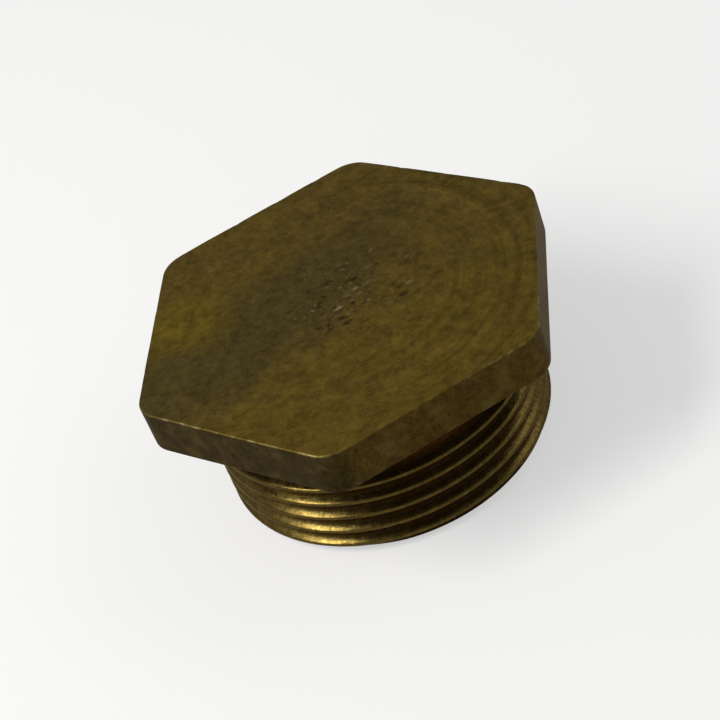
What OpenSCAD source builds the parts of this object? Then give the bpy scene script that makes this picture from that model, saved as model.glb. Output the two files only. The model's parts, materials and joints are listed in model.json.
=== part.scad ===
// Blind plug: a hexagon head on a short shank with a parallel pipe thread.
// One piece, turned from hexagon bar. It stands on the end of its shank:
// +Z runs up through the head, and the origin is the centre of the end face.

/* [Head] */
// Width of the hexagon across its flats
across_flats = 48; // [46:0.5:56]
// Radius that rounds the hexagon's six corners
corner_round = 3.7; // [2:0.1:6]
// Height of the head, from the seat face to the top face
head_h = 5.7; // [4:0.1:12]
// Chamfer that breaks the head's top and bottom edges
edge_break = 0.3; // [0.1:0.05:0.8]

/* [Thread] */
// Major diameter of the thread, over its crests
thread_d = 41.91; // [38:0.01:44]
// Pitch of the thread, from crest to crest
thread_pitch = 2.309; // [1.8:0.001:2.8]
// Angle between the two flanks of the thread
flank_angle = 55; // [50:1:60]
// Direction, seen from above, in which the groove passes the end of the shank
thread_start = 217; // [0:1:359]

/* [Shank] */
// Length of the shank, from the seat face to its end
shank_len = 16.5; // [12:0.1:30]
// Width of the relief under the head, where the thread runs out
relief_w = 4.2; // [3.6:0.1:6]
// Depth of the relief's floor below the thread's root
relief_drop = 0.25; // [0.1:0.05:1]
// Chamfer at the end of the shank, along the axis
end_chamfer = 1.1; // [0.4:0.1:2]

/* [Hidden] */
$fn = 96;

brass = "#a08a3c";

// The posts stand inside the corners, and each flat runs straight between two of them.
post_reach = (across_flats / 2 - corner_round) / cos(30);
flat_half = (across_flats / 2 - corner_round) * tan(30);

thread_r = thread_d / 2;
// Depth of a pipe thread's form below its crest, for its pitch
form_depth_ratio = 0.640327;
thread_depth = form_depth_ratio * thread_pitch;
root_r = thread_r - thread_depth;
relief_r = root_r - relief_drop;
end_r = thread_r - end_chamfer;
seat_z = shank_len;
shoulder_z = seat_z - relief_w;
// The shank's core runs half way up into the head, which makes the two one piece.
core_top_z = seat_z + head_h / 2;

flank_slope = tan(flank_angle / 2);

// Half the groove's width at a given radius. It is a quarter of the pitch at mid depth.
function groove_half(r) = thread_pitch / 4 + (r - (thread_r - thread_depth / 2)) * flank_slope;

// The groove's cutter reaches outside the crests, half way to where its turns would meet.
crest_half = thread_pitch / 2 - groove_half(thread_r);
cutter_proud = crest_half / flank_slope / 2;

// The groove's section as [radius, height], centred on the height 0, from its lower lip to its upper lip
lip_r = thread_r + cutter_proud;
lip_half = groove_half(lip_r);
root_half = groove_half(root_r);
groove_section = [[lip_r, -lip_half], [root_r, -root_half], [root_r, root_half], [lip_r, lip_half]];

// Height at which the relief's shoulder comes down to the thread's root
run_out_z = shoulder_z + thread_depth;

// About how many steps of the groove's helix make one turn
steps_per_turn = 48;
// A whole number of even steps lies between the shank's end and the run-out. The sections stand half a
// step off both, so that none has a corner there.
run_steps = round(run_out_z / thread_pitch * steps_per_turn);
step_rise = run_out_z / run_steps;
step_turn = 360 * step_rise / thread_pitch;

// The cut starts in the open relief, about level with the seat face, and ends below the shank.
top_step = ceil(seat_z / step_rise) + 0.5;
cut_steps = top_step + ceil(2 * lip_half / step_rise) + 0.5;

// One point of the section, carried up a right-hand helix by a number of steps from the shank's end
function helix_point(p, step) =
    let (turn = thread_start + step * step_turn)
    [p[0] * cos(turn), p[0] * sin(turn), p[1] + step * step_rise];

// A section swept down the helix as one closed solid
module helix_cutter(section) {
    n = len(section);
    points = [for (s = [0 : cut_steps]) for (p = section) helix_point(p, top_step - s)];
    sides = [
        for (s = [0 : cut_steps - 1]) for (k = [0 : n - 1])
            let (a = s * n + k, b = s * n + (k + 1) % n)
            each [[a, b + n, a + n], [a, b, b + n]]
    ];
    caps = [
        for (k = [1 : n - 2])
            each [[0, k + 1, k], [cut_steps * n, cut_steps * n + k, cut_steps * n + k + 1]]
    ];
    polyhedron(points, concat(sides, caps), convexity = 20);
}

// A bar between two opposite flats, as long as a flat is straight. Its edge chamfers run on past
// the head's two faces, where the slab trims them.
module flat_bar() {
    half = across_flats / 2;
    e = edge_break;
    rotate([90, 0, 0])
        linear_extrude(2 * flat_half, center = true)
            polygon([
                [-half + 2 * e, -e], [half - 2 * e, -e], [half, e], [half, head_h - e],
                [half - 2 * e, head_h + e], [-half + 2 * e, head_h + e], [-half, head_h - e], [-half, e]
            ]);
}

// A round post that forms one corner of the hexagon, with the same chamfers
module corner_post() {
    r = corner_round;
    e = edge_break;
    rotate_extrude()
        polygon([
            [0, -e], [r - 2 * e, -e], [r, e],
            [r, head_h - e], [r - 2 * e, head_h + e], [0, head_h + e]
        ]);
}

// A slab as high as the head, and wider, that gives the head its two flat faces
module face_slab() {
    w = 2 * across_flats;
    translate([-w / 2, -w / 2, 0]) cube([w, w, head_h]);
}

module head() {
    translate([0, 0, seat_z])
        intersection() {
            union() {
                for (turn = [0, 60, 120]) rotate(turn) flat_bar();
                for (turn = [30 : 60 : 330]) rotate(turn) translate([post_reach, 0, 0]) corner_post();
            }
            face_slab();
        }
}

// The shank as turned, before its thread is cut
module shank_blank() {
    rotate_extrude()
        polygon([
            [0, 0], [end_r, 0], [thread_r, end_chamfer], [thread_r, shoulder_z],
            [relief_r, shoulder_z + thread_r - relief_r], [relief_r, core_top_z], [0, core_top_z]
        ]);
}

module plug() {
    color(brass) {
        head();
        difference() {
            shank_blank();
            helix_cutter(groove_section);
        }
    }
}

plug();
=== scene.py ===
"""Old brass blind plug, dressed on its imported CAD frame: hexagon head, threaded shank and stage."""

import json
import math
import random

import bmesh
import bpy
import numpy as np
from bpy.props import FloatProperty, FloatVectorProperty, IntProperty, PointerProperty
from mathutils import Matrix, Vector


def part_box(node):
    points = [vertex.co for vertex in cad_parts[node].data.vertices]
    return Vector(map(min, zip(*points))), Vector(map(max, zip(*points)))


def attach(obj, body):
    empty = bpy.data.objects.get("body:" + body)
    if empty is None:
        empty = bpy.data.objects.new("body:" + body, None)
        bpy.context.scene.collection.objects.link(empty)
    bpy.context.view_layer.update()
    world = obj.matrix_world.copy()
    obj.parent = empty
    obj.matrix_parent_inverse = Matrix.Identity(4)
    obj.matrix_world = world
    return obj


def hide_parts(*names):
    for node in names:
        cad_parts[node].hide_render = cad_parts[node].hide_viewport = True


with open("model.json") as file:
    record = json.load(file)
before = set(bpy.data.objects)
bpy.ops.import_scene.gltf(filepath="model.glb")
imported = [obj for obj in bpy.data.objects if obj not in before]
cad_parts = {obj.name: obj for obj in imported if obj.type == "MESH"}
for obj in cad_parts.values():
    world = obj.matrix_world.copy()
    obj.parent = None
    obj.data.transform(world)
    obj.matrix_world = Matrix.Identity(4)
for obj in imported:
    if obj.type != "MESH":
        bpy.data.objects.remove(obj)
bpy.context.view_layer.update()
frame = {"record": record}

bl_info = {
    "name": "Old Brass Blind Plug",
    "version": (1, 0, 0),
    "blender": (4, 5, 0),
    "location": "View3D > Sidebar > Blind Plug",
    "description": "Builds a worn brass blind plug with a helical pipe thread, and a plain stage for it",
    "category": "Add Mesh",
}

NODE = "plug"
BODY = "root"
MM = 0.001
LOW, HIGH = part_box(NODE)
MOUNTS = {m["name"]: m for m in frame["record"]["mounts"]}

SIDES = 6
# The hexagon's flats face these directions, in degrees, and the directions opposite to them.
FLAT_TURNS = (0.0, 60.0, 120.0)
# The two flats that face the front
LEFT_FRONT, RIGHT_FRONT = -120.0, -60.0

# Random wear: a seed for its places, and how many marks there are
NICK_SEED, NICK_COUNT = 11, 64
KNOCK_SEED, KNOCK_COUNT = 5, 34

# Edges that meet at more than this angle are shaded as sharp.
SHARP_ANGLE = math.radians(38.0)
WELD_GAP = 1.5e-6


class PlugSizes(bpy.types.PropertyGroup):
    """Sizes of the plug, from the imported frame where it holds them."""

    across_flats: FloatProperty(
        name="Across flats", description="Width of the hexagon across its flats",
        default=HIGH[0] - LOW[0], unit="LENGTH")
    corner_round: FloatProperty(
        name="Corner rounding", description="Radius that rounds the hexagon's six corners",
        default=3.75 * MM, unit="LENGTH")
    top_z: FloatProperty(
        name="Top face", description="Height of the head's top face",
        default=HIGH[2], unit="LENGTH")
    seat_z: FloatProperty(
        name="Seat face", description="Height of the head's underside",
        default=MOUNTS["seat_face"]["pos_m"][2], unit="LENGTH")
    edge_round: FloatProperty(
        name="Edge rounding", description="Radius that wear has given the head's edges",
        default=0.13 * MM, unit="LENGTH")
    corner_wear: FloatProperty(
        name="Corner wear", description="What wear adds to the top edge's rounding at the corners",
        default=0.08 * MM, unit="LENGTH")
    front_wear: FloatProperty(
        name="Front wear", description="What wear adds to the top edge's rounding on the right front side",
        default=0.14 * MM, unit="LENGTH")
    thread_r: FloatProperty(
        name="Thread radius", description="Radius over the thread's crests",
        default=MOUNTS["thread"]["dims"]["r_mm"] * MM, unit="LENGTH")
    pitch: FloatProperty(
        name="Pitch", description="Distance from crest to crest",
        default=2.309 * MM, unit="LENGTH")
    thread_depth: FloatProperty(
        name="Thread depth", description="Depth of the thread below its crests",
        default=1.4785 * MM, unit="LENGTH")
    thread_turn: FloatProperty(
        name="Thread turn", description="Direction in which a crest meets the level of the seat face",
        default=math.radians(89.5), subtype="ANGLE")
    thread_round: FloatProperty(
        name="Thread rounding", description="How softly the flanks run into the crests and roots",
        default=0.34 * MM, unit="LENGTH")
    crest_wear: FloatProperty(
        name="Crest wear", description="Depth of the dents in the thread's crests",
        default=0.12 * MM, unit="LENGTH")
    relief_w: FloatProperty(
        name="Relief width", description="Width of the run-out relief under the head",
        default=4.2 * MM, unit="LENGTH")
    relief_drop: FloatProperty(
        name="Relief drop", description="Depth of the relief's floor below the thread's root",
        default=0.25 * MM, unit="LENGTH")
    end_chamfer: FloatProperty(
        name="End chamfer", description="Chamfer at the end of the shank",
        default=1.1 * MM, unit="LENGTH")
    columns: IntProperty(
        name="Columns", description="Mesh columns round the plug", default=360, min=60)
    shank_rows: IntProperty(
        name="Shank rows", description="Mesh rows along the shank", default=172, min=20)
    end_rings: IntProperty(
        name="End rings", description="Mesh rings across the shank's end face", default=8, min=2)


class PlugFinish(bpy.types.PropertyGroup):
    """Colours of the old brass."""

    patina: FloatVectorProperty(
        name="Patina", description="Olive-brown oxide that covers most of the top face",
        default=(0.146, 0.099, 0.0185), subtype="COLOR", min=0, max=1)
    gold: FloatVectorProperty(
        name="Thin patina", description="Warmer patches where the oxide is thin",
        default=(0.154, 0.105, 0.0160), subtype="COLOR", min=0, max=1)
    rubbed: FloatVectorProperty(
        name="Rubbed patch", description="Yellow patch near the left edge, where the oxide is thinnest",
        default=(0.198, 0.138, 0.0130), subtype="COLOR", min=0, max=1)
    stain: FloatVectorProperty(
        name="Stain", description="Grey-brown stain round the middle of the top face",
        default=(0.091, 0.068, 0.0195), subtype="COLOR", min=0, max=1)
    side: FloatVectorProperty(
        name="Side patina", description="Brown oxide on the six side faces",
        default=(0.064, 0.040, 0.0075), subtype="COLOR", min=0, max=1)
    dull_side: FloatVectorProperty(
        name="Dull side", description="Greyer oxide on the left front side",
        default=(0.036, 0.0255, 0.0072), subtype="COLOR", min=0, max=1)
    # Real grime in pits and blotches. In the relief under the head it is painted shade.
    grime: FloatVectorProperty(
        name="Grime", description="Dark deposit in pits, in blotches and in the relief",
        default=(0.014, 0.009, 0.0030), subtype="COLOR", min=0, max=1)
    # Deposit in the roots. Up the lower flanks and under the crests, this colour is also painted shade.
    thread_root: FloatVectorProperty(
        name="Thread root", description="Red-brown deposit in the thread's roots and below its crests",
        default=(0.052, 0.0195, 0.0044), subtype="COLOR", min=0, max=1)
    thread_flank: FloatVectorProperty(
        name="Thread flank", description="Dark brass on the thread's flanks",
        default=(0.120, 0.086, 0.0235), subtype="COLOR", min=0, max=1)
    thread_crest: FloatVectorProperty(
        name="Thread crest", description="Rubbed brass along the thread's crests",
        default=(0.090, 0.062, 0.0150), subtype="COLOR", min=0, max=1)
    # Along the head's left front edge this colour is also a painted highlight.
    bare: FloatVectorProperty(
        name="Bare brass", description="Metal that wear has laid bare on edges and nicks",
        default=(0.42, 0.37, 0.23), subtype="COLOR", min=0, max=1)


class PlugStage(bpy.types.PropertyGroup):
    """The floor, the lamps and the camera."""

    floor_colour: FloatVectorProperty(
        name="Floor", description="Colour of the floor",
        default=(0.92, 0.92, 0.92), subtype="COLOR", min=0, max=1)
    floor_white: FloatProperty(
        name="Plain white", description="Share of the floor that is seen as plain white",
        default=0.5, min=0, max=1)
    sky: FloatProperty(
        name="Sky", description="Strength of the soft light from all round", default=0.50)
    zenith: FloatProperty(
        name="Zenith", description="Strength of the soft light from straight above", default=0.12)
    key_power: FloatProperty(
        name="Key lamp", description="Power of the long soft lamp on the left", default=2.0, unit="POWER")
    fill_power: FloatProperty(
        name="Fill lamp", description="Power of the lamp on the right", default=0.20, unit="POWER")
    lens: FloatProperty(
        name="Lens", description="Focal length on a 36 mm sensor", default=97.3, unit="CAMERA")


class Wire:
    """A socket in a node tree, with the usual arithmetic on it."""

    def __init__(self, wiring, socket):
        self.wiring, self.socket = wiring, socket

    def _math(self, operation, *values):
        return self.wiring.node("ShaderNodeMath", {"operation": operation}, *values)

    def __add__(self, other):
        return self._math("ADD", self, other)

    def __radd__(self, other):
        return self._math("ADD", other, self)

    def __sub__(self, other):
        return self._math("SUBTRACT", self, other)

    def __rsub__(self, other):
        return self._math("SUBTRACT", other, self)

    def __mul__(self, other):
        return self._math("MULTIPLY", self, other)

    def __truediv__(self, other):
        return self._math("DIVIDE", self, other)

    def __abs__(self):
        return self._math("ABSOLUTE", self)

    def least(self, other):
        return self._math("MINIMUM", self, other)

    def most(self, other):
        return self._math("MAXIMUM", self, other)

    def soft_least(self, other, softness):
        return self._math("SMOOTH_MIN", self, other, softness)

    def soft_most(self, other, softness):
        return self._math("SMOOTH_MAX", self, other, softness)

    def sin(self):
        return self._math("SINE", self)

    def cos(self):
        return self._math("COSINE", self)

    def root(self):
        return self._math("SQRT", self)

    def part(self):
        return self._math("FRACT", self)

    def step(self, start, end):
        """0 at start, 1 at end, with a smooth rise between them."""
        return self.wiring.node(
            "ShaderNodeMapRange", {"interpolation_type": "SMOOTHSTEP", "clamp": True},
            self, start, end, 0.0, 1.0)


class Wiring:
    """Adds nodes to one tree."""

    def __init__(self, tree):
        self.nodes, self.links = tree.nodes, tree.links

    def node(self, kind, settings=None, *values, out=0, **named):
        """One node: its settings first, then its sockets by place or by name. Gives one of its outputs."""
        made = self.nodes.new(kind)
        for key, value in (settings or {}).items():
            setattr(made, key, value)
        sockets = [s for s in made.inputs if s.enabled]
        for socket, value in zip(sockets, values):
            self.feed(socket, value)
        for name, value in named.items():
            self.feed(made.inputs[name.replace("_", " ")], value)
        if isinstance(out, str):
            return Wire(self, made.outputs[out])
        return Wire(self, [s for s in made.outputs if s.enabled][out])

    def feed(self, socket, value):
        if isinstance(value, Wire):
            self.links.new(value.socket, socket)
        else:
            socket.default_value = value

    def other(self, wire, name):
        """Another output of the node that a wire comes from."""
        return Wire(self, wire.socket.node.outputs[name])

    def vector(self, x, y, z):
        return self.node("ShaderNodeCombineXYZ", None, x, y, z)

    def split(self, vector):
        made = self.nodes.new("ShaderNodeSeparateXYZ")
        self.feed(made.inputs[0], vector)
        return [Wire(self, s) for s in made.outputs]

    def scaled(self, vector, factor):
        """A vector or a colour times a number."""
        return self.node("ShaderNodeVectorMath", {"operation": "SCALE"}, vector, factor)

    def mix(self, share, first, second):
        """A colour between two colours."""
        return self.node(
            "ShaderNodeMix", {"data_type": "RGBA", "clamp_factor": True},
            share, first, second)

    def noise(self, at, scale, detail, rough):
        return self.node(
            "ShaderNodeTexNoise", {"noise_dimensions": "3D", "normalize": True},
            Vector=at, Scale=scale, Detail=detail, Roughness=rough)


def blend(share, first, second):
    """A value between two values."""
    return (1.0 - share) * first + share * second


def shank_inputs(sizes):
    """Named inputs of the shank's node tree, with their values."""
    return {
        "Columns": sizes.columns, "Shank rows": sizes.shank_rows, "End rings": sizes.end_rings,
        "Length": sizes.seat_z, "Crest radius": sizes.thread_r, "Pitch": sizes.pitch,
        "Depth": sizes.thread_depth, "Turn": sizes.thread_turn, "Relief width": sizes.relief_w,
        "Relief drop": sizes.relief_drop, "End chamfer": sizes.end_chamfer,
        "Rounding": sizes.thread_round, "Crest wear": sizes.crest_wear,
    }


def thread_form(w, size, angle, z):
    """Radius of the thread's helix, and the distance above its nearest crest, in pitches."""
    crest, depth = size["Crest radius"], size["Depth"]
    floor = crest - depth
    lead = (z - size["Length"]) / size["Pitch"] - (angle - size["Turn"]) / math.tau
    above = (lead + 0.5).part() - 0.5
    # A sharp 55 degree form is half as deep again as the rounded one.
    sharp = crest + depth * 0.25 - abs(above) * depth * 3.0
    form = sharp.soft_least(crest, size["Rounding"]).soft_most(floor, size["Rounding"])
    spot = w.vector(angle.cos() * crest, angle.sin() * crest, z)
    dents = w.noise(w.scaled(spot, 1.0 / MM), 0.75, 4.0, 0.6).step(0.58, 0.78)
    on_crest = form.step(floor + depth * 0.55, crest)
    return form - dents * on_crest * size["Crest wear"], above


def shank_tree(inputs, material):
    """Node tree of the shank: a sheet wrapped round the axis, with the thread's helix as its radius."""
    tree = bpy.data.node_groups.new("threaded_shank", "GeometryNodeTree")
    face = tree.interface
    given = {}
    for name, value in inputs.items():
        kind = "NodeSocketInt" if isinstance(value, int) else "NodeSocketFloat"
        given[name] = face.new_socket(name, in_out="INPUT", socket_type=kind).identifier
    face.new_socket("Geometry", in_out="OUTPUT", socket_type="NodeSocketGeometry")
    w = Wiring(tree)
    source = w.nodes.new("NodeGroupInput")
    size = {name: Wire(w, source.outputs[name]) for name in given}

    # The sheet's first rows close the end face, and the others run up the shank.
    rows = size["End rings"] + size["Shank rows"]
    sheet = w.node("GeometryNodeMeshGrid", None, 1.0, 1.0, size["Columns"] + 1.0, rows + 1.0)
    across, along, _ = w.split(w.node("GeometryNodeInputPosition"))
    angle = (across + 0.5) * math.tau
    row = (along + 0.5) * rows
    share = (row / size["End rings"]).least(1.0)
    z = (row - size["End rings"]).most(0.0) / size["Shank rows"] * size["Length"]

    form, above = thread_form(w, size, angle, z)
    crest = size["Crest radius"]
    relief_floor = crest - size["Depth"] - size["Relief drop"]
    chamfer = crest - size["End chamfer"] + z
    shoulder = crest - (z - size["Length"] + size["Relief width"]).most(0.0)
    turned = shoulder.most(relief_floor).least(chamfer)
    radius = form.least(turned) * share
    place = w.vector(radius * angle.cos(), radius * angle.sin(), z)

    shape = w.node("GeometryNodeStoreNamedAttribute", {"data_type": "FLOAT", "domain": "POINT"},
                   Geometry=sheet, Name="above", Value=above)
    shape = w.node("GeometryNodeSetPosition", None, Geometry=shape, Position=place)
    shape = w.node("GeometryNodeMergeByDistance", None, Geometry=shape, Distance=1e-6)
    shape = w.node("GeometryNodeSetShadeSmooth", None, Geometry=shape, Shade_Smooth=True)
    shape = w.node("GeometryNodeRealizeInstances", None, Geometry=shape)
    shape = w.node("GeometryNodeSetMaterial", None, Geometry=shape, Material=material)
    w.feed(w.nodes.new("NodeGroupOutput").inputs[0], shape)
    return tree, given


def shank_mesh(sizes, material):
    """The shank as a plain mesh, open at its upper edge."""
    inputs = shank_inputs(sizes)
    tree, given = shank_tree(inputs, material)
    holder = bpy.data.objects.new("shank_holder", bpy.data.meshes.new("shank_holder"))
    bpy.context.scene.collection.objects.link(holder)
    maker = holder.modifiers.new("make", "NODES")
    maker.node_group = tree
    for name, value in inputs.items():
        maker[given[name]] = value
    found = holder.evaluated_get(bpy.context.evaluated_depsgraph_get())
    mesh = bpy.data.meshes.new_from_object(found)
    holder.modifiers.remove(maker)
    bpy.data.objects.remove(holder)
    if not mesh.polygons:
        raise RuntimeError("the threaded shank came out empty")
    return mesh


def top_nicks():
    """Nicks and pits in the scuffed middle of the top face, in mm.

    Each has its x, y, half length, half width, turn and depth, and is bright or dark.
    """
    middle_x, middle_y, spread, squash = 0.8, -1.0, 9.5, 0.95
    bright_share = 0.34
    draw = random.Random(NICK_SEED)
    nicks = []
    for _ in range(NICK_COUNT):
        reach = spread * math.sqrt(draw.random())
        turn = draw.uniform(0, math.tau)
        x = middle_x + reach * math.cos(turn)
        y = middle_y + squash * reach * math.sin(turn)
        bright = draw.random() < bright_share
        nicks.append((
            x, y, draw.uniform(0.2, 0.75), draw.uniform(0.10, 0.24), draw.uniform(0, math.pi),
            draw.uniform(0.03, 0.10), bright,
        ))
    return nicks


def top_wear(x, y):
    """Depth in mm, and shares of bright and dark nicks, at points of the top face in mm."""
    deepest, lip_offset, lip_rise = 0.14, 1.6, 0.35
    depth, bright, dark = np.zeros_like(x), np.zeros_like(x), np.zeros_like(x)
    for nick_x, nick_y, half_l, half_w, turn, deep, is_bright in top_nicks():
        along = (x - nick_x) * math.cos(turn) + (y - nick_y) * math.sin(turn)
        aside = (y - nick_y) * math.cos(turn) - (x - nick_x) * math.sin(turn)
        taper = (along / half_l) ** 4
        nick = np.exp(-taper - (aside / half_w) ** 2)
        depth += deep * nick
        if is_bright:
            lip = np.exp(-taper - ((aside - lip_offset * half_w) / half_w) ** 2)
            bright = np.maximum(bright, np.maximum(0.5 * nick, lip))
            depth -= lip_rise * deep * lip
        else:
            dark = np.maximum(dark, nick)
    return np.clip(depth, 0.0, deepest), bright, dark


def edge_knocks(turns):
    """How far small knocks push the top edge in, in mm, at each of the turns."""
    deepest = 0.26
    draw = random.Random(KNOCK_SEED)
    push = np.zeros_like(turns)
    for _ in range(KNOCK_COUNT):
        at = draw.uniform(0, math.tau)
        wide = draw.uniform(0.006, 0.022)
        deep = draw.uniform(0.03, 0.16)
        gap = np.angle(np.exp(1j * (turns - at)))
        push += deep * np.exp(-(gap / wide) ** 2)
    return np.minimum(push, deepest)


def head_outline(sizes, turns):
    """Radius of the head at each of the turns: the hexagon with rounded corners."""
    half, half_side = sizes.across_flats / 2, math.pi / SIDES
    off = np.abs((turns + half_side) % (2 * half_side) - half_side)
    beside = half_side - off
    inset = half - sizes.corner_round
    post = inset / math.cos(half_side)
    straight = half / np.cos(off)
    under_root = np.maximum(sizes.corner_round ** 2 - (post * np.sin(beside)) ** 2, 0.0)
    arc = post * np.cos(beside) + np.sqrt(under_root)
    on_flat = np.tan(off) * half <= inset * math.tan(half_side)
    return np.where(on_flat, straight, arc)


def edge_radii(sizes, turns, knocks):
    """Radii of the head's lower and upper edges at each of the turns, uneven with wear."""
    lower = sizes.edge_round * (0.9 + 0.25 * np.sin(5 * turns + 1.0) * np.sin(11 * turns))
    upper = sizes.edge_round * (0.85 + 0.3 * np.sin(7 * turns) * np.sin(13 * turns + 2.0)) + knocks
    corner = np.clip(np.cos(SIDES * turns + math.pi), 0.0, 1.0) ** 2
    front = np.clip(4.0 * np.cos(turns - math.radians(RIGHT_FRONT)) - 3.0, 0.0, 1.0)
    return lower, upper + sizes.corner_wear * corner + sizes.front_wear * front


def head_rings(sizes):
    """Rings of points from the seat's inner edge, round the head's side and in to the top's centre.

    Each ring has a radius, a height and how much a knock shows there, at each of the turns.
    """
    turns = np.arange(sizes.columns) * math.tau / sizes.columns
    rim = head_outline(sizes, turns)
    knocks = edge_knocks(turns)
    lower, upper = edge_radii(sizes, turns, knocks * MM)
    inner = sizes.thread_r - sizes.thread_depth - sizes.relief_drop
    low, high = sizes.seat_z + lower, sizes.top_z - upper
    full = np.ones_like(turns)
    rings = []

    def add(r, z, shown=0.0):
        rings.append((r, z * full, shown * knocks))

    for s in np.linspace(0.0, 1.0, 8):
        add(inner + (rim - lower - inner) * s, sizes.seat_z)
    for a in np.radians([22.5, 45.0, 67.5, 90.0]):
        add(rim - lower * (1 - math.sin(a)), sizes.seat_z + lower * (1 - math.cos(a)))
    for s in np.linspace(0.0, 1.0, 12)[1:-1]:
        add(rim, low + (high - low) * s, max(0.0, s - 0.8))
    for a in np.radians([0.0, 18.0, 36.0, 54.0, 72.0, 90.0]):
        add(rim - upper * (1 - math.cos(a)), sizes.top_z - upper * (1 - math.sin(a)), 1.0)
    # The top's rings lie closest where it is scuffed and next to its edge.
    beside_edge, outer, scuffed = (0.990, 0.978, 0.962, 0.944), (0.92, 0.46, 21), (0.45, 0.02, 44)
    for s in (*beside_edge, *np.linspace(*outer), *np.linspace(*scuffed)):
        add((rim - upper) * s, sizes.top_z, 0.4 if s > 0.98 else 0.0)
    return turns, rings


def head_mesh(sizes):
    """The head, open at the seat's inner edge, with attributes for its bright and dark marks."""
    turns, rings = head_rings(sizes)
    n = len(turns)
    r, z, knocked = (np.array(values) for values in zip(*rings))
    x, y = r * np.cos(turns), r * np.sin(turns)
    depth, bright, dark = top_wear(x / MM, y / MM)
    on_top = z > sizes.top_z - 1e-7
    z = np.where(on_top, z - depth * MM, z)
    bright = np.where(on_top, bright, 0.0) + np.minimum(knocked * 6.0, 1.0)
    dark = np.where(on_top, dark, 0.0)

    points = np.stack([x, y, z], axis=-1).reshape(-1, 3)
    points = np.vstack([points, [0.0, 0.0, sizes.top_z]])
    centre, last = len(points) - 1, (len(rings) - 1) * n
    faces = []
    for start in range(0, last, n):
        for i in range(n):
            k = (i + 1) % n
            faces.append((start + i, start + k, start + n + k, start + n + i))
    faces += [(last + i, last + (i + 1) % n, centre) for i in range(n)]

    mesh = bpy.data.meshes.new("hexagon_head")
    mesh.from_pydata(points.tolist(), [], faces)
    for name, values in (("bright", bright), ("dark", dark), ("above", np.zeros_like(bright))):
        layer = mesh.attributes.new(name, "FLOAT", "POINT")
        layer.data.foreach_set("value", np.append(values.reshape(-1), 0.0))
    mesh.polygons.foreach_set("use_smooth", [True] * len(mesh.polygons))
    return mesh


class BrassField:
    """Places on the plug, in mm, and the noises that its finishes share."""

    def __init__(self, material, finish, sizes):
        self.w = w = Wiring(material.node_tree)
        self.finish, self.sizes = finish, sizes
        self.top, self.seat = sizes.top_z / MM, sizes.seat_z / MM
        self.half = sizes.across_flats / 2 / MM
        self.place = w.scaled(w.node("ShaderNodeTexCoord", None, out="Object"), 1.0 / MM)
        self.x, self.y, self.z = w.split(self.place)
        self.reach = (self.x * self.x + self.y * self.y).root()
        self.broad = w.noise(self.place, 0.11, 3.0, 0.5)
        self.cloud = w.noise(self.place, 0.38, 5.0, 0.6)
        self.mottle = w.noise(self.place, 1.1, 5.0, 0.6)
        self.grain = w.noise(self.place, 7.0, 3.0, 0.6)
        self.on_top = self.z.step(self.top - 0.25, self.top - 0.03)
        self.on_shank = self.z.step(self.seat + 0.05, self.seat - 0.15)

    def colour(self, name):
        return (*getattr(self.finish, name), 1.0)

    def attribute(self, name):
        return self.w.node("ShaderNodeAttribute", {"attribute_name": name}, out="Fac")

    def varied(self, colour, cloud, mottle, grain):
        """A colour made lighter and darker by the three finer noises, each with its own strength."""
        share = 1.0 + (self.cloud - 0.5) * cloud + (self.mottle - 0.5) * mottle + (self.grain - 0.5) * grain
        return self.w.scaled(colour, share.most(0.05))

    def patch(self, x, y, size):
        """A soft round patch on the top face, 1 in its middle."""
        across, along = self.x - x, self.y - y
        away = (across * across + along * along).root()
        return (away + (self.cloud - 0.5) * size * 1.2).step(size, size * 0.25)

    def towards(self, angle):
        """Distance from the axis along one direction."""
        a = math.radians(angle)
        return self.x * math.cos(a) + self.y * math.sin(a)

    def drawn(self, angle, length, width, shift):
        """Coordinates on the top face, drawn out along one direction."""
        along, aside = self.towards(angle), self.towards(angle + 90)
        return self.w.vector(along / length + shift, aside / width + shift, shift)

    def streaks(self, angle, length, width, cut, shift):
        """Long thin scratches, all in one direction."""
        return self.w.noise(self.drawn(angle, length, width, shift), 1.0, 2.0, 0.5).step(cut, cut + 0.07)

    def specks(self, angle, length, width, size, share, shift):
        """Short marks in one direction, at random places."""
        near = self.w.node("ShaderNodeTexVoronoi", {"voronoi_dimensions": "2D"},
                           Vector=self.drawn(angle, length, width, shift), Scale=1.0)
        chance, spread, _ = self.w.split(self.w.other(near, "Color"))
        grown = near / (0.5 + spread)
        return grown.step(size, size * 0.4) * chance.step(1.0 - share, 1.0 - share + 0.03)

    def from_edge(self):
        """Distance from the head's outline."""
        hexagon = abs(self.x)
        for turn in FLAT_TURNS[1:]:
            hexagon = hexagon.most(abs(self.towards(turn)))
        corner = float(head_outline(self.sizes, np.array([math.pi / SIDES]))[0]) / MM
        return (self.half - hexagon).least(corner - self.reach)


def scratches(f):
    """Long thin scratches on the top face, in five directions."""
    found = f.streaks(24, 5.0, 0.12, 0.66, 3.1)
    for angle, length, width, cut, shift in (
        (71, 4.0, 0.10, 0.67, 9.7), (-38, 6.0, 0.13, 0.67, 17.3),
        (-80, 3.0, 0.10, 0.68, 29.9), (3, 2.5, 0.09, 0.67, 41.1),
    ):
        found = found.most(f.streaks(angle, length, width, cut, shift))
    return found


def bright_cuts(f):
    """Small bright cuts and flecks in the middle of the top face."""
    cuts = f.specks(24, 3.0, 1.3, 0.20, 0.06, 2.3)
    for angle, shift in ((-22, 7.9), (60, 13.7)):
        cuts = cuts.most(f.specks(angle, 2.6, 1.1, 0.20, 0.05, shift) * 0.7)
    flecks = f.specks(28, 1.3, 0.7, 0.32, 0.18, 51.3).most(f.specks(-35, 1.0, 0.7, 0.32, 0.15, 57.9))
    flecks = flecks * f.patch(-0.5, 2.0, 10.0) * 0.36
    return (cuts * (0.4 + f.grain)).most(flecks)


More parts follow.
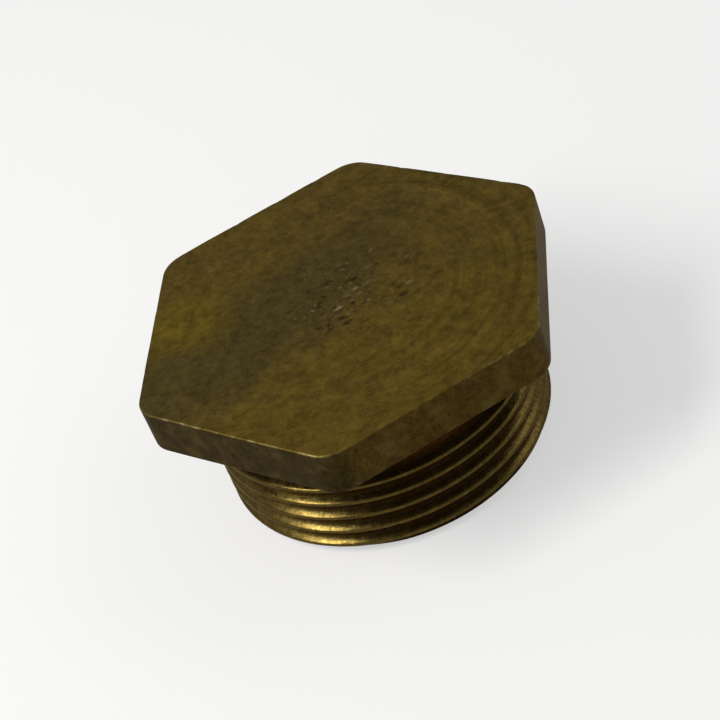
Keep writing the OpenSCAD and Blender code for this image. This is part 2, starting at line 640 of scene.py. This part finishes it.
def dark_pits(f):
    """Dark pits of four sizes in the middle of the top face, the last of them in one cluster."""
    pits = f.specks(35, 2.6, 1.6, 0.27, 0.20, 31.7)
    pits = pits.most(f.specks(-50, 1.4, 0.8, 0.24, 0.18, 37.3) * 0.7)
    pits = pits.most(f.specks(60, 0.8, 0.6, 0.28, 0.25, 43.9) * 0.6)
    cluster = f.specks(20, 1.2, 0.8, 0.34, 0.24, 61.1) * f.patch(-1.5, -4.0, 11.0)
    return pits.most(cluster * 0.85)


def turning_marks(f):
    """Irregular bands round the axis, light above 0 and dark below it, clearest on the right."""
    bands = f.w.noise(f.w.vector(f.reach * 0.9, f.x * 0.03, f.y * 0.03), 1.0, 5.0, 0.7) - 0.5
    return bands * f.reach.step(9.0, 16.0) * (0.35 + f.x.step(-4.0, 12.0))


def top_oxide(f):
    """Colour of the top face's oxide.

    It is thin along the lower right, stained through the middle and at the lower left, and rubbed
    yellow near the left edge.
    """
    w = f.w
    lower_right = f.towards(-56)
    thin = (lower_right + (f.cloud - 0.5) * 14.0).step(2.0, 13.0) * (f.x - f.y * 0.3).step(-14.0, -4.0)
    stained = abs(lower_right + 4.0 + (f.broad - 0.5) * 12.0).step(11.0, 3.0)
    stained = stained * (f.x - f.y * 0.2).step(10.0, -2.0)
    face = w.mix(thin * (0.45 + f.broad * 0.9), f.colour("patina"), f.colour("gold"))
    face = w.mix(stained * (0.35 + f.cloud * 0.9) * (1.0 - thin * 0.7), face, f.colour("stain"))
    face = w.mix(f.patch(-13.0, -12.0, 7.0) * 0.6, face, f.colour("stain"))
    face = w.mix(f.patch(-19.5, 0.5, 8.0) * (0.2 + f.cloud), face, f.colour("rubbed"))
    return f.varied(face, 1.0, 1.3, 0.9)


def top_finish(f):
    """Colour, roughness and height of the top face: oxide, turning marks, scratches, cuts and pits."""
    w = f.w
    scuffed = f.patch(1.2, -1.0, 13.0)
    scratch, arcs = scratches(f), turning_marks(f)
    cuts, pits = bright_cuts(f) * scuffed, dark_pits(f) * scuffed
    sunk = pits.most(f.attribute("dark") * 0.35)
    face = w.scaled(top_oxide(f), 1.0 + arcs * 1.05)
    face = w.mix(scratch * 0.12 * f.grain.step(0.35, 0.6), face, f.colour("bare"))
    face = w.mix(sunk * (0.4 + f.mottle * 0.6), face, f.colour("grime"))
    face = w.mix(cuts * 0.75, face, f.colour("bare"))
    rough = 0.38 + f.mottle * 0.24 + f.cloud * 0.12 - cuts * 0.12 - scratch * 0.05
    height = f.mottle * 0.6 + f.grain * 0.3 + arcs * 0.8 - scratch * 0.3 - pits * 3.2 + cuts * 1.4
    return face, rough, height


def side_finish(f):
    """Colour, roughness and height of the six side faces and the seat: brown oxide in blotches."""
    w = f.w
    dull = f.towards(LEFT_FRONT).step(f.half - 3.0, f.half - 1.0)
    blotch = w.noise(f.place, 0.75, 4.0, 0.6)
    spots = w.noise(f.place, 1.1, 3.0, 0.5).step(0.56, 0.70)
    side = w.mix(dull * 0.8, f.colour("side"), f.colour("dull_side"))
    side = w.scaled(f.varied(side, 0.9, 1.9, 1.5), 0.35 + blotch * 1.3)
    side = w.mix(spots * 0.55, side, f.colour("grime"))
    side = w.mix(f.cloud.step(0.52, 0.66) * 0.5, side, f.colour("stain"))
    rough = 0.44 + f.mottle * 0.24 + blotch * 0.1
    height = f.mottle * 0.9 + f.grain * 0.6 + blotch * 0.3
    return side, rough, height


def edge_wear_and_highlight(f):
    """Share of bare metal on the head's edges: most on the left front edge and at the right corner. The
    bright line on the left front edge is partly a painted highlight.
    """
    edge = f.from_edge()
    left_front = f.towards(LEFT_FRONT).step(f.half - 2.0, f.half - 0.6)
    right_corner = f.towards(-34).step(23.2, 25.8)
    # The left front edge gets the most bare colour. There the bright line is partly a painted highlight.
    rubbed = left_front * 0.8 + right_corner * 1.1 + 0.12
    broken = (f.cloud * 0.9 + f.mottle * 1.1 - 0.90).step(0.0, 0.30)
    upper = edge.step(0.26, 0.04) * f.z.step(f.top - 0.34, f.top - 0.08) * broken * rubbed
    lower = edge.step(0.3, 0.05) * f.z.step(f.seat + 0.4, f.seat + 0.1) * f.mottle.step(0.5, 0.7) * 0.2
    return upper.most(lower).most(f.attribute("bright") * 0.25)


def thread_finish(f):
    """Colour, roughness, height and share of clean metal of the shank.

    The crests are rubbed. A dull deposit lies in the roots, below the crests and in the relief. The
    red-brown up the lower flanks and under the crests, and the dark relief, are partly painted shade.
    """
    w, sizes = f.w, f.sizes
    crest_r, floor_r = sizes.thread_r / MM, (sizes.thread_r - sizes.thread_depth) / MM
    shoulder = f.seat - sizes.relief_w / MM
    uneven = f.mottle - 0.5
    rise = ((f.reach - floor_r) / (crest_r - floor_r)).least(1.0).most(0.0)
    above = f.attribute("above")
    below = above.step(0.0, -0.12)
    relief = f.z.step(shoulder + 1.2, shoulder + 1.7)
    end = f.z.step(0.12, 0.02)
    # Fine marks across the flanks, drawn out along the axis
    chatter = w.noise(w.vector(f.x * 2.2, f.y * 2.2, f.z * 0.25), 1.0, 2.0, 0.5) - 0.5

    # The root's red-brown reaches up the lower flanks as painted shade. It stands in for light reflected
    # between the flanks.
    flank = (rise + uneven * 0.3).step(0.05, 0.70)
    polish = (rise + uneven * 0.15).step(0.72, 1.0)
    thread = w.mix(flank, f.colour("thread_root"), f.colour("thread_flank"))
    thread = w.mix(polish, thread, f.colour("thread_crest"))
    # Darker undersides of the crests: deposit and painted shade.
    thread = w.mix(below * 0.9, thread, f.colour("thread_root"))
    thread = w.scaled(f.varied(thread, 0.5, 0.9, 0.7), 1.0 + chatter * 1.3)
    # Painted shade: the relief under the head's overhang is darkened towards the grime colour.
    thread = w.mix(relief * 0.85, thread, f.colour("grime"))
    skin = f.varied(w.mix(f.cloud, f.colour("patina"), f.colour("gold")), 0.5, 1.2, 1.0)
    thread = w.mix(end * 0.75, thread, skin)

    in_root = (rise + uneven * 0.3).step(0.60, 0.0)
    grimy = (in_root * 0.8).most(below * 0.9).most(relief * 0.9) * (1.0 - end)
    film = grimy.most(abs(above).step(0.15, 0.03) * 0.5).most(0.05) * (1.0 - end)
    ring_pitch = 0.23
    rings = (f.reach * (math.tau / ring_pitch)).sin()
    rough = 0.23 + uneven * 0.26 - chatter * 0.25 + (f.grain - 0.5) * 0.2 + grimy * 0.4 + end * 0.2
    height = f.mottle * 0.7 + f.grain * 0.5 + rings * end * 0.25
    return thread, rough, height, 1.0 - film


def old_brass(finish, sizes):
    """Aged brass: its top face, side faces, edges and thread in one material."""
    material = bpy.data.materials.new("old_brass")
    material.use_nodes = True
    material.node_tree.nodes.clear()
    f = BrassField(material, finish, sizes)
    w = f.w
    top_colour, top_rough, top_height = top_finish(f)
    side_colour, side_rough, side_height = side_finish(f)
    shank_colour, shank_rough, shank_height, shank_metal = thread_finish(f)
    # Bare metal on the edges, partly a painted highlight along the left front edge.
    bare_and_highlight = edge_wear_and_highlight(f) * (1.0 - f.on_shank)
    head_colour = w.mix(bare_and_highlight * 0.30, w.mix(f.on_top, side_colour, top_colour), f.colour("bare"))
    head_rough = blend(f.on_top, side_rough, top_rough) - bare_and_highlight * 0.12
    height = blend(f.on_shank, blend(f.on_top, side_height, top_height), shank_height)

    shader = w.nodes.new("ShaderNodeBsdfPrincipled")
    w.feed(shader.inputs["Base Color"], w.mix(f.on_shank, head_colour, shank_colour))
    w.feed(shader.inputs["Roughness"], blend(f.on_shank, head_rough, shank_rough))
    w.feed(shader.inputs["Metallic"], blend(f.on_shank, 1.0, shank_metal))
    w.feed(shader.inputs["Specular IOR Level"], 0.0)
    w.feed(shader.inputs["Specular Tint"], (0.80, 0.74, 0.70, 1.0))
    bump = w.node("ShaderNodeBump", None, Strength=0.6, Distance=0.03 * MM, Height=height)
    w.feed(shader.inputs["Normal"], bump)
    out = w.nodes.new("ShaderNodeOutputMaterial")
    w.links.new(shader.outputs[0], out.inputs["Surface"])
    return material


def weld(first, second, name):
    """Both meshes as one, joined where their open edges meet."""
    both = bmesh.new()
    for mesh in (first, second):
        both.from_mesh(mesh)
    bmesh.ops.remove_doubles(both, verts=both.verts, dist=WELD_GAP)
    open_edges = sum(1 for e in both.edges if len(e.link_faces) != 2)
    made = bpy.data.meshes.new(name)
    both.to_mesh(made)
    both.free()
    if open_edges:
        raise RuntimeError(f"{name} has {open_edges} edges that don't join two faces")
    return made


class PLUG_OT_body(bpy.types.Operator):
    """Make the plug: shank with its thread, and hexagon head, as one closed piece"""

    bl_idname = "plug.body"
    bl_label = "Blind plug"

    def execute(self, context):
        sizes, finish = context.scene.plug_sizes, context.scene.plug_finish
        material = old_brass(finish, sizes)
        shank, head = shank_mesh(sizes, material), head_mesh(sizes)
        mesh = weld(head, shank, "plug_body")
        mesh.materials.clear()
        mesh.materials.append(material)
        mesh.polygons.foreach_set("material_index", [0] * len(mesh.polygons))
        mesh.set_sharp_from_angle(angle=SHARP_ANGLE)
        piece = bpy.data.objects.new("plug_body", mesh)
        context.scene.collection.objects.link(piece)
        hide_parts(NODE)
        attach(piece, BODY)
        return {"FINISHED"}


def pale_paint(stage):
    """Matt pale paint, of which a share is seen as plain white."""
    paint = bpy.data.materials.new("pale_floor")
    paint.use_nodes = True
    w = Wiring(paint.node_tree)
    shader = w.nodes["Principled BSDF"]
    w.feed(shader.inputs["Base Color"], (*stage.floor_colour, 1.0))
    w.feed(shader.inputs["Roughness"], 0.9)
    w.feed(shader.inputs["Specular IOR Level"], 0.1)
    light = w.node("ShaderNodeLightPath", None, out="Is Camera Ray")
    seen = light.most(w.other(light, "Is Glossy Ray")).most(w.other(light, "Is Transmission Ray"))
    white = w.node("ShaderNodeEmission", None, (1.0, 1.0, 1.0, 1.0), 1.0)
    matt = Wire(w, shader.outputs[0])
    shown = w.node("ShaderNodeMixShader", None, seen * stage.floor_white, matt, white)
    w.feed(w.nodes["Material Output"].inputs["Surface"], shown)
    return paint


def make_floor(scene, stage):
    """A wide square, a hair below the plug's end face."""
    half, low = 1.5, -0.01 * MM
    mesh = bpy.data.meshes.new("floor")
    corners = [(-half, -half, low), (half, -half, low), (half, half, low), (-half, half, low)]
    mesh.from_pydata(corners, [], [(0, 1, 2, 3)])
    mesh.materials.append(pale_paint(stage))
    floor = bpy.data.objects.new("floor", mesh)
    scene.collection.objects.link(floor)


def make_sky(scene, stage):
    """Even white light from all round, weaker from straight above."""
    world = bpy.data.worlds.new("even_light")
    world.use_nodes = True
    w = Wiring(world.node_tree)
    sky = w.nodes["Background"]
    w.feed(sky.inputs["Color"], (1.0, 1.0, 1.0, 1.0))
    _, _, up = w.split(w.node("ShaderNodeTexCoord", None, out="Generated"))
    w.feed(sky.inputs["Strength"], stage.sky - up.step(0.6, 0.98) * (stage.sky - stage.zenith))
    scene.world = world


def soft_lamp(scene, name, start, end, width, power, tint):
    """A long soft lamp from one point to another, turned towards the plug."""
    aim = Vector((0.0, 0.0, 0.012))
    start, end = Vector(start), Vector(end)
    middle = (start + end) / 2
    back = (middle - aim).normalized()
    along = (end - start - back * (end - start).dot(back)).normalized()
    lamp = bpy.data.lights.new(name, "AREA")
    lamp.shape = "ELLIPSE"
    lamp.size, lamp.size_y = (end - start).length + width, width
    lamp.energy, lamp.color = power, tint
    stand = bpy.data.objects.new(name, lamp)
    scene.collection.objects.link(stand)
    turn = Matrix((along, back.cross(along), back)).transposed()
    stand.matrix_world = Matrix.Translation(middle) @ turn.to_4x4()


def make_camera(scene, stage):
    """A long lens that looks down on the head and the front of the thread."""
    lens = bpy.data.cameras.new("camera")
    lens.sensor_width, lens.lens = 36.0, stage.lens
    camera = bpy.data.objects.new("camera", lens)
    scene.collection.objects.link(camera)
    # The columns are the camera's right, up and back directions, and its place in m.
    camera.matrix_world = Matrix((
        (0.95636, 0.18842, 0.22332, 0.05249),
        (0.04446, 0.66157, -0.74857, -0.17786),
        (-0.28878, 0.72583, 0.62432, 0.16031),
        (0.0, 0.0, 0.0, 1.0),
    ))
    scene.camera = camera


class PLUG_OT_stage(bpy.types.Operator):
    """Make the floor, the light and the camera"""

    bl_idname = "plug.stage"
    bl_label = "Stage"

    def execute(self, context):
        scene, stage = context.scene, context.scene.plug_stage
        make_floor(scene, stage)
        make_sky(scene, stage)
        soft_lamp(
            scene, "key_lamp", start=(-0.348, -0.262, 0.336), end=(-0.282, -0.016, 0.472), width=0.13,
            power=stage.key_power, tint=(1.0, 0.98, 0.95))
        soft_lamp(
            scene, "fill_lamp", start=(0.24, 0.22, 0.44), end=(0.40, -0.02, 0.28), width=0.16,
            power=stage.fill_power, tint=(1.0, 0.98, 0.94))
        make_camera(scene, stage)
        scene.view_settings.view_transform = "Standard"
        return {"FINISHED"}


class PLUG_PT_panel(bpy.types.Panel):
    """Sizes, colours and steps of the blind plug"""

    bl_idname = "PLUG_PT_panel"
    bl_label = "Blind Plug"
    bl_space_type = "VIEW_3D"
    bl_region_type = "UI"
    bl_category = "Blind Plug"

    def draw(self, context):
        layout, scene = self.layout, context.scene
        for group in (scene.plug_sizes, scene.plug_finish, scene.plug_stage):
            box = layout.box()
            for key in group.bl_rna.properties.keys():
                if key not in ("rna_type", "name"):
                    box.prop(group, key)
        for step in STEPS:
            layout.operator(step.bl_idname)


STEPS = (PLUG_OT_body, PLUG_OT_stage)
GROUPS = (("plug_sizes", PlugSizes), ("plug_finish", PlugFinish), ("plug_stage", PlugStage))


def register():
    for name, group in GROUPS:
        bpy.utils.register_class(group)
        setattr(bpy.types.Scene, name, PointerProperty(type=group))
    for kind in (*STEPS, PLUG_PT_panel):
        bpy.utils.register_class(kind)


def unregister():
    for kind in (PLUG_PT_panel, *reversed(STEPS)):
        bpy.utils.unregister_class(kind)
    for name, group in reversed(GROUPS):
        delattr(bpy.types.Scene, name)
        bpy.utils.unregister_class(group)


def main():
    register()
    bpy.ops.plug.body()
    bpy.ops.plug.stage()


if __name__ == "__main__":
    main()
